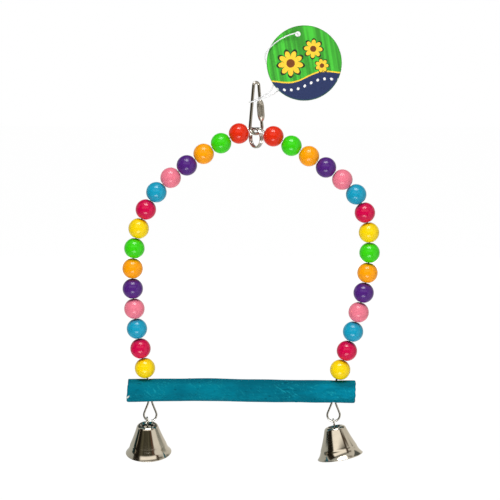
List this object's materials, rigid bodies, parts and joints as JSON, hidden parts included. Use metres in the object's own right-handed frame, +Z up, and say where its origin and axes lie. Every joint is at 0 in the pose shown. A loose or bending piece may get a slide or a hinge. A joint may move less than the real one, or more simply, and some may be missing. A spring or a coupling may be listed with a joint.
{
  "type": "bird swing",
  "caption": "Hanging bird swing: a beaded wire arch on a quick link carries a dyed wooden perch, with a bell on a wire loop below each end and a hang tag at the clip.",
  "frame": {"origin": "the hanging point, on the inner face of the clip's top bend", "axes": "+Z up, along the line the swing hangs on; the arch and the perch lie in the XZ plane, with the perch along X; the swing is seen from -Y"},
  "size_m": [0.1506, 0.0321, 0.2557],
  "materials": {
    "clip_steel": "bright nickel-plated steel wire",
    "nut_steel": "nickel-plated, knurled",
    "arch_steel": "bright nickel-plated steel wire",
    "dyed_wood": "rough, dyed teal with non-toxic dye, unsealed",
    "bead_red": "glossy moulded",
    "bead_green": "glossy moulded",
    "bead_orange": "glossy moulded",
    "bead_purple": "glossy moulded",
    "bead_pink": "glossy moulded",
    "bead_blue": "glossy moulded",
    "bead_crimson": "glossy moulded",
    "bead_yellow": "glossy moulded",
    "bell_nickel": "polished nickel plate, slightly warm",
    "hanger_steel": "bright wire",
    "clapper_steel": "dull plated",
    "printed_card": "glossy print on card",
    "clear_nylon": "translucent, smooth"
  },
  "bodies": {
    "clip": {"clip_body": "clip_steel"},
    "nut": {"clip_nut": "nut_steel"},
    "arch": {"arch_wire": "arch_steel", "perch": "dyed_wood"},
    "bell_left": {"bell_left": "bell_nickel", "hanger_left": "hanger_steel"},
    "bell_right": {"bell_right": "bell_nickel", "hanger_right": "hanger_steel"},
    "clapper_left": {"clapper_left": "clapper_steel"},
    "clapper_right": {"clapper_right": "clapper_steel"},
    "tag": {"hang_tag": "printed_card", "tag_strand": "clear_nylon", "strand_lock": "clear_nylon"},
    "bead_left_01": {"bead_left_01": "bead_red"},
    "bead_left_02": {"bead_left_02": "bead_green"},
    "bead_left_03": {"bead_left_03": "bead_orange"},
    "bead_left_04": {"bead_left_04": "bead_purple"},
    "bead_left_05": {"bead_left_05": "bead_pink"},
    "bead_left_06": {"bead_left_06": "bead_blue"},
    "bead_left_07": {"bead_left_07": "bead_crimson"},
    "bead_left_08": {"bead_left_08": "bead_yellow"},
    "bead_left_09": {"bead_left_09": "bead_green"},
    "bead_left_10": {"bead_left_10": "bead_orange"},
    "bead_left_11": {"bead_left_11": "bead_purple"},
    "bead_left_12": {"bead_left_12": "bead_pink"},
    "bead_left_13": {"bead_left_13": "bead_blue"},
    "bead_left_14": {"bead_left_14": "bead_crimson"},
    "bead_left_15": {"bead_left_15": "bead_yellow"},
    "bead_right_01": {"bead_right_01": "bead_red"},
    "bead_right_02": {"bead_right_02": "bead_green"},
    "bead_right_03": {"bead_right_03": "bead_orange"},
    "bead_right_04": {"bead_right_04": "bead_purple"},
    "bead_right_05": {"bead_right_05": "bead_pink"},
    "bead_right_06": {"bead_right_06": "bead_blue"},
    "bead_right_07": {"bead_right_07": "bead_crimson"},
    "bead_right_08": {"bead_right_08": "bead_yellow"},
    "bead_right_09": {"bead_right_09": "bead_green"},
    "bead_right_10": {"bead_right_10": "bead_orange"},
    "bead_right_11": {"bead_right_11": "bead_purple"},
    "bead_right_12": {"bead_right_12": "bead_pink"},
    "bead_right_13": {"bead_right_13": "bead_blue"},
    "bead_right_14": {"bead_right_14": "bead_crimson"},
    "bead_right_15": {"bead_right_15": "bead_yellow"}
  },
  "joints": [
    {"name": "arch_swing", "type": "hinge", "parent": "clip", "child": "arch", "pos_m": [0, 0, -0.02585], "axis": [1, 0, 0], "range_deg": [-28, 28]},
    {"name": "bell_swing_left", "type": "hinge", "parent": "arch", "child": "bell_left", "pos_m": [-0.0638, 0, -0.1973], "axis": [1, 0, 0], "range_deg": [-60, 30]},
    {"name": "bell_swing_right", "type": "hinge", "parent": "arch", "child": "bell_right", "pos_m": [0.04601, 0, -0.19813], "axis": [1, 0, 0], "range_deg": [-45, 45]},
    {"name": "clapper_swing_left", "type": "hinge", "parent": "bell_left", "child": "clapper_left", "pos_m": [-0.06359, 0.00164, -0.20536], "axis": [-0.0068, 0.9659, 0.2587], "range_deg": [-43.5, 40.5]},
    {"name": "clapper_swing_right", "type": "hinge", "parent": "bell_right", "child": "clapper_right", "pos_m": [0.04758, -0.0005, -0.2062], "axis": [0, 1, 0], "range_deg": [-53, 31]},
    {"name": "nut_travel", "type": "slide", "parent": "clip", "child": "nut", "axis": [-0.0816, -0.051, 0.9954], "range_m": [0, 0.0063]},
    {"name": "tag_swing", "type": "hinge", "parent": "clip", "child": "tag", "pos_m": [-0.0023, -0.00144, -0.0103], "axis": [0.0816, 0.051, 0.9954], "range_deg": [-100, 0]},
    {"name": "turn_bead_left_01", "type": "hinge", "parent": "arch", "child": "bead_left_01", "pos_m": [-0.0099, 0, -0.02875], "axis": [-0.891, 0, -0.454], "continuous": true},
    {"name": "turn_bead_left_02", "type": "hinge", "parent": "arch", "child": "bead_left_02", "pos_m": [-0.02036, 0, -0.03443], "axis": [-0.866, 0, -0.5], "continuous": true},
    {"name": "turn_bead_left_03", "type": "hinge", "parent": "arch", "child": "bead_left_03", "pos_m": [-0.0305, 0, -0.04065], "axis": [-0.8387, 0, -0.5446], "continuous": true},
    {"name": "turn_bead_left_04", "type": "hinge", "parent": "arch", "child": "bead_left_04", "pos_m": [-0.04031, 0, -0.04739], "axis": [-0.809, 0, -0.5878], "continuous": true},
    {"name": "turn_bead_left_05", "type": "hinge", "parent": "arch", "child": "bead_left_05", "pos_m": [-0.04975, 0, -0.05463], "axis": [-0.7771, 0, -0.6293], "continuous": true},
    {"name": "turn_bead_left_06", "type": "hinge", "parent": "arch", "child": "bead_left_06", "pos_m": [-0.05807, 0, -0.0631], "axis": [-0.6157, 0, -0.788], "continuous": true},
    {"name": "turn_bead_left_07", "type": "hinge", "parent": "arch", "child": "bead_left_07", "pos_m": [-0.06427, 0, -0.07323], "axis": [-0.4226, 0, -0.9063], "continuous": true},
    {"name": "turn_bead_left_08", "type": "hinge", "parent": "arch", "child": "bead_left_08", "pos_m": [-0.06849, 0, -0.08435], "axis": [-0.284, 0, -0.9588], "continuous": true},
    {"name": "turn_bead_left_09", "type": "hinge", "parent": "arch", "child": "bead_left_09", "pos_m": [-0.07101, 0, -0.09596], "axis": [-0.1392, 0, -0.9903], "continuous": true},
    {"name": "turn_bead_left_10", "type": "hinge", "parent": "arch", "child": "bead_left_10", "pos_m": [-0.0721, 0, -0.10781], "axis": [-0.0436, 0, -0.999], "continuous": true},
    {"name": "turn_bead_left_11", "type": "hinge", "parent": "arch", "child": "bead_left_11", "pos_m": [-0.07205, 0, -0.1197], "axis": [0.0523, 0, -0.9986], "continuous": true},
    {"name": "turn_bead_left_12", "type": "hinge", "parent": "arch", "child": "bead_left_12", "pos_m": [-0.07114, 0, -0.13157], "axis": [0.1002, 0, -0.995], "continuous": true},
    {"name": "turn_bead_left_13", "type": "hinge", "parent": "arch", "child": "bead_left_13", "pos_m": [-0.06966, 0, -0.14338], "axis": [0.1478, 0, -0.989], "continuous": true},
    {"name": "turn_bead_left_14", "type": "hinge", "parent": "arch", "child": "bead_left_14", "pos_m": [-0.06762, 0, -0.1551], "axis": [0.1951, 0, -0.9808], "continuous": true},
    {"name": "turn_bead_left_15", "type": "hinge", "parent": "arch", "child": "bead_left_15", "pos_m": [-0.06502, 0, -0.16671], "axis": [0.2419, 0, -0.9703], "continuous": true},
    {"name": "turn_bead_right_01", "type": "hinge", "parent": "arch", "child": "bead_right_01", "pos_m": [0.0101, 0, -0.03036], "axis": [0.8988, 0, -0.4384], "continuous": true},
    {"name": "turn_bead_right_02", "type": "hinge", "parent": "arch", "child": "bead_right_02", "pos_m": [0.02065, 0, -0.03585], "axis": [0.8746, 0, -0.4848], "continuous": true},
    {"name": "turn_bead_right_03", "type": "hinge", "parent": "arch", "child": "bead_right_03", "pos_m": [0.03091, 0, -0.04189], "axis": [0.848, 0, -0.5299], "continuous": true},
    {"name": "turn_bead_right_04", "type": "hinge", "parent": "arch", "child": "bead_right_04", "pos_m": [0.04083, 0, -0.04846], "axis": [0.8192, 0, -0.5736], "continuous": true},
    {"name": "turn_bead_right_05", "type": "hinge", "parent": "arch", "child": "bead_right_05", "pos_m": [0.05039, 0, -0.05553], "axis": [0.788, 0, -0.6157], "continuous": true},
    {"name": "turn_bead_right_06", "type": "hinge", "parent": "arch", "child": "bead_right_06", "pos_m": [0.05851, 0, -0.06417], "axis": [0.5664, 0, -0.8241], "continuous": true},
    {"name": "turn_bead_right_07", "type": "hinge", "parent": "arch", "child": "bead_right_07", "pos_m": [0.06366, 0, -0.07484], "axis": [0.2924, 0, -0.9563], "continuous": true},
    {"name": "turn_bead_right_08", "type": "hinge", "parent": "arch", "child": "bead_right_08", "pos_m": [0.06614, 0, -0.08647], "axis": [0.1219, 0, -0.9925], "continuous": true},
    {"name": "turn_bead_right_09", "type": "hinge", "parent": "arch", "child": "bead_right_09", "pos_m": [0.06655, 0, -0.09835], "axis": [-0.0523, 0, -0.9986], "continuous": true},
    {"name": "turn_bead_right_10", "type": "hinge", "parent": "arch", "child": "bead_right_10", "pos_m": [0.06541, 0, -0.11019], "axis": [-0.1392, 0, -0.9903], "continuous": true},
    {"name": "turn_bead_right_11", "type": "hinge", "parent": "arch", "child": "bead_right_11", "pos_m": [0.06324, 0, -0.12188], "axis": [-0.225, 0, -0.9744], "continuous": true},
    {"name": "turn_bead_right_12", "type": "hinge", "parent": "arch", "child": "bead_right_12", "pos_m": [0.06039, 0, -0.13344], "axis": [-0.2546, 0, -0.967], "continuous": true},
    {"name": "turn_bead_right_13", "type": "hinge", "parent": "arch", "child": "bead_right_13", "pos_m": [0.05718, 0, -0.1449], "axis": [-0.284, 0, -0.9588], "continuous": true},
    {"name": "turn_bead_right_14", "type": "hinge", "parent": "arch", "child": "bead_right_14", "pos_m": [0.05363, 0, -0.15625], "axis": [-0.3132, 0, -0.9497], "continuous": true},
    {"name": "turn_bead_right_15", "type": "hinge", "parent": "arch", "child": "bead_right_15", "pos_m": [0.04973, 0, -0.1675], "axis": [-0.342, 0, -0.9397], "continuous": true}
  ]
}
